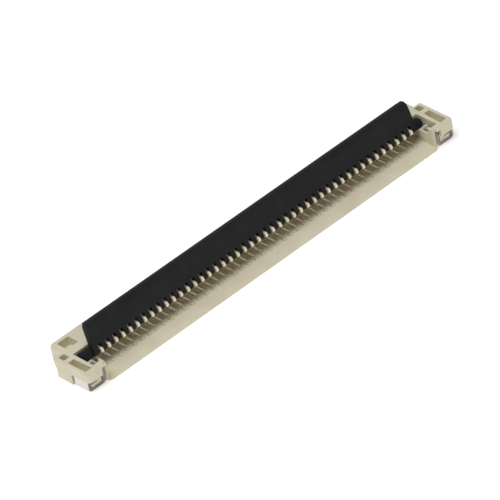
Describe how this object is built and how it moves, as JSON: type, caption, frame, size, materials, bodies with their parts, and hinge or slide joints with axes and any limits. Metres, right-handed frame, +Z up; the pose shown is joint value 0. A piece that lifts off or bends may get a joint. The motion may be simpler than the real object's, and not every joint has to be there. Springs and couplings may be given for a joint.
{
  "type": "flat cable connector",
  "caption": "Low-profile board connector for a flat flexible cable, with a row of sheet contacts, a flip-up locking bar and a solder fitting at each end.",
  "frame": {"origin": "bottom centre of the connector's bounding box, on the face of the circuit board", "axes": "+X along the row of contacts, -Y towards the cable entry, +Z up from the board"},
  "size_m": [0.026, 0.004, 0.0026],
  "materials": {
    "housing_plastic": "satin moulded",
    "bar_plastic": "satin moulded",
    "gold_plating": "gold flash over nickel",
    "tin_plating": "satin tin plating"
  },
  "bodies": {
    "base": {"housing": "housing_plastic", "fitting_left": "tin_plating", "fitting_right": "tin_plating", "contact_01": "gold_plating", "contact_02": "gold_plating", "contact_03": "gold_plating", "contact_04": "gold_plating", "contact_05": "gold_plating", "contact_06": "gold_plating", "contact_07": "gold_plating", "contact_08": "gold_plating", "contact_09": "gold_plating", "contact_10": "gold_plating", "contact_11": "gold_plating", "contact_12": "gold_plating", "contact_13": "gold_plating", "contact_14": "gold_plating", "contact_15": "gold_plating", "contact_16": "gold_plating", "contact_17": "gold_plating", "contact_18": "gold_plating", "contact_19": "gold_plating", "contact_20": "gold_plating", "contact_21": "gold_plating", "contact_22": "gold_plating", "contact_23": "gold_plating", "contact_24": "gold_plating", "contact_25": "gold_plating", "contact_26": "gold_plating", "contact_27": "gold_plating", "contact_28": "gold_plating", "contact_29": "gold_plating", "contact_30": "gold_plating", "contact_31": "gold_plating", "contact_32": "gold_plating", "contact_33": "gold_plating", "contact_34": "gold_plating", "contact_35": "gold_plating", "contact_36": "gold_plating", "contact_37": "gold_plating", "contact_38": "gold_plating", "contact_39": "gold_plating", "contact_40": "gold_plating", "contact_41": "gold_plating", "contact_42": "gold_plating", "contact_43": "gold_plating", "contact_44": "gold_plating", "contact_45": "gold_plating"},
    "locking_bar": {"actuator": "bar_plastic"}
  },
  "joints": [
    {"name": "bar_flip", "type": "hinge", "parent": "base", "child": "locking_bar", "pos_m": [0, -0.00036, 0.00087], "axis": [1, 0, 0], "range_deg": [0, 105]}
  ]
}
